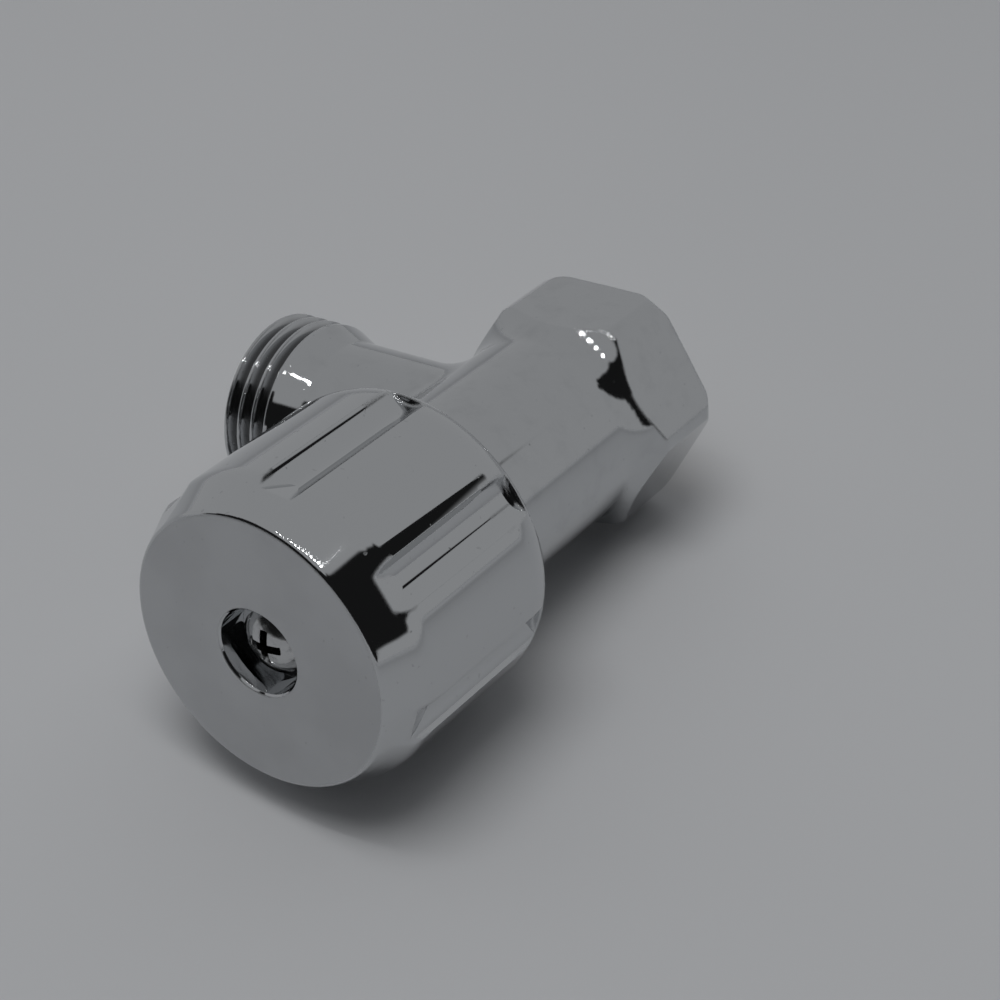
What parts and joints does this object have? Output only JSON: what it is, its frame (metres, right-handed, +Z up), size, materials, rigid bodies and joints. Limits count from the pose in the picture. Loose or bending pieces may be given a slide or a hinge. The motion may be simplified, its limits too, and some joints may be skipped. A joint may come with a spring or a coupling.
{
  "type": "angle valve",
  "caption": "Chromed angle valve with a fluted round knob, a hexagonal female inlet in line with the stem and a threaded side outlet.",
  "frame": {"origin": "centre of the inlet's mouth, on the stem's axis", "axes": "+Z up; +Y along the stem's axis out of the inlet, so the knob's face looks to -Y; the outlet points to -X"},
  "size_m": [0.0472, 0.0627, 0.0344],
  "materials": {
    "body_chrome": "polished chrome plate on cast brass",
    "knob_chrome": "polished chrome plate with a satin turned face",
    "screw_chrome": "bright plated steel",
    "headwork_brass": "machined brass",
    "gasket_fibre": "pressed fibre",
    "seal_rubber": "moulded black rubber",
    "inner_plastic": "moulded natural plastic",
    "disc_ceramic": "lapped ceramic",
    "clip_steel": "spring steel"
  },
  "bodies": {
    "body": {"valve_body": "body_chrome", "bonnet": "headwork_brass", "bonnet_gasket": "gasket_fibre", "lip_seal": "seal_rubber", "seal_ring": "inner_plastic", "fixed_disc": "disc_ceramic"},
    "handle": {"knob": "knob_chrome", "knob_screw": "screw_chrome", "spline_insert": "inner_plastic", "spindle": "headwork_brass", "thrust_washer": "inner_plastic", "o_ring_lower": "seal_rubber", "o_ring_upper": "seal_rubber", "stop_ring": "headwork_brass", "circlip": "clip_steel", "moving_disc": "disc_ceramic"}
  },
  "joints": [
    {"name": "knob_turn", "type": "hinge", "parent": "body", "child": "handle", "pos_m": [0, -0.047, 0], "axis": [0, -1, 0], "range_deg": [0, 90]}
  ]
}
